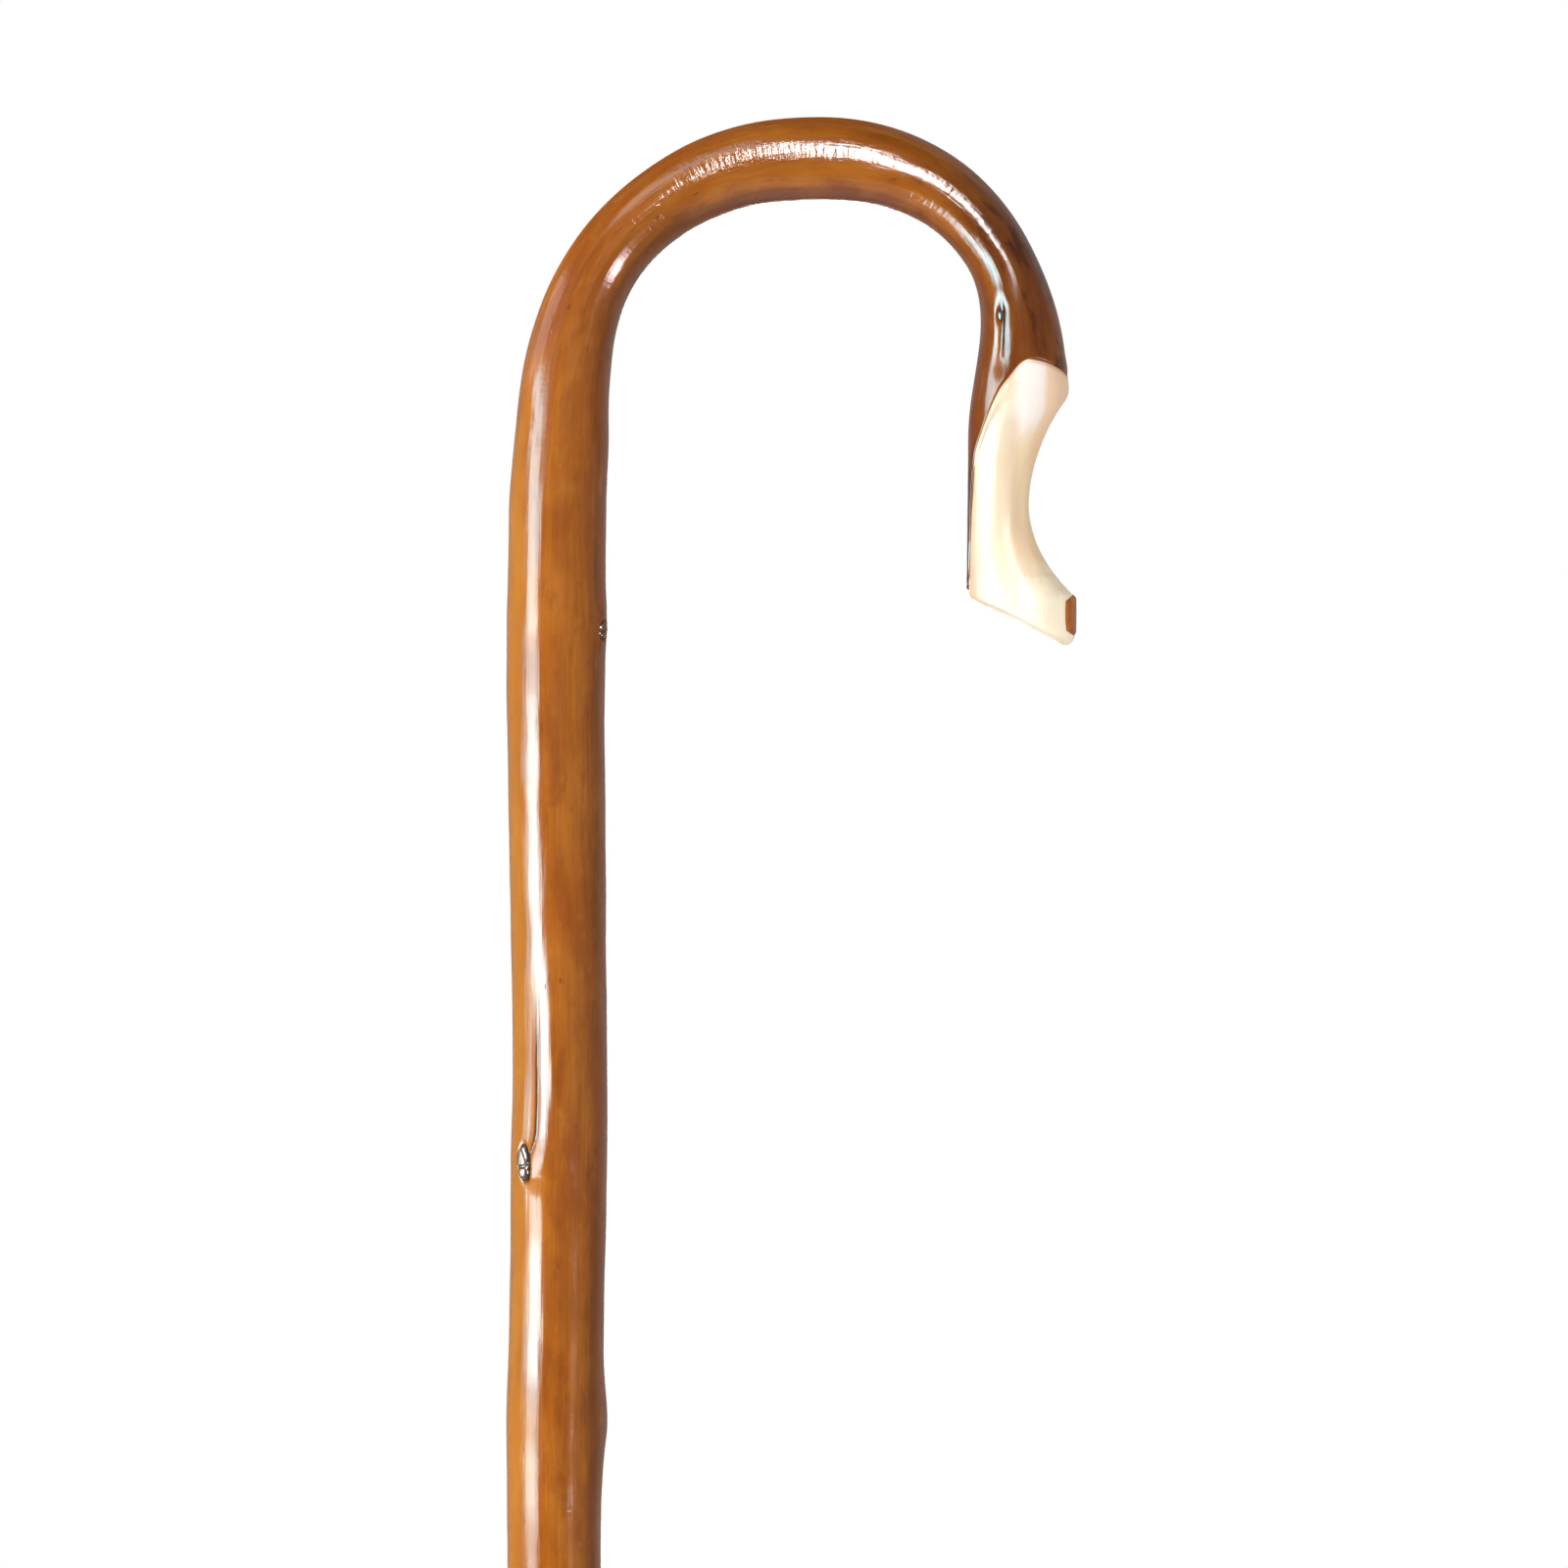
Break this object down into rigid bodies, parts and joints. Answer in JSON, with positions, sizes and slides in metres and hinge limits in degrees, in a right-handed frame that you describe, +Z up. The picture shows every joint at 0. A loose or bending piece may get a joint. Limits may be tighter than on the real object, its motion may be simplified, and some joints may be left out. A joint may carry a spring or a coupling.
{
  "type": "shepherd crook",
  "caption": "Shepherd's crook of varnished bark-on chestnut with a steam-bent bow, a peeled and carved nose and a pinned ferrule, for catching a sheep by the neck.",
  "frame": {"origin": "centre of the ferrule's foot, on the ground", "axes": "+Z up the shaft, +X from the shaft towards the nose, +Y square to the plane of the bow and away from the viewer"},
  "size_m": [0.1493, 0.0264, 1.22],
  "materials": {
    "bare_wood": "peeled and carved, satin varnish",
    "bark": "bark left on, stained brown, gloss varnish",
    "knot": "trimmed shoot, gloss varnish",
    "brass": "turned, lightly worn",
    "steel": "turned, scuffed foot"
  },
  "bodies": {
    "root": {"wood_rod": "bare_wood", "bark": "bark", "toe_bark": "bark", "ferrule_sleeve": "brass", "ferrule_tip": "steel", "ferrule_pin": "brass", "knot_foot": "knot", "knot_low": "knot", "knot_middle": "knot", "knot_hand": "knot", "knot_side": "knot", "knot_front": "knot", "knot_inner": "knot", "knot_nose": "knot"}
  },
  "joints": []
}
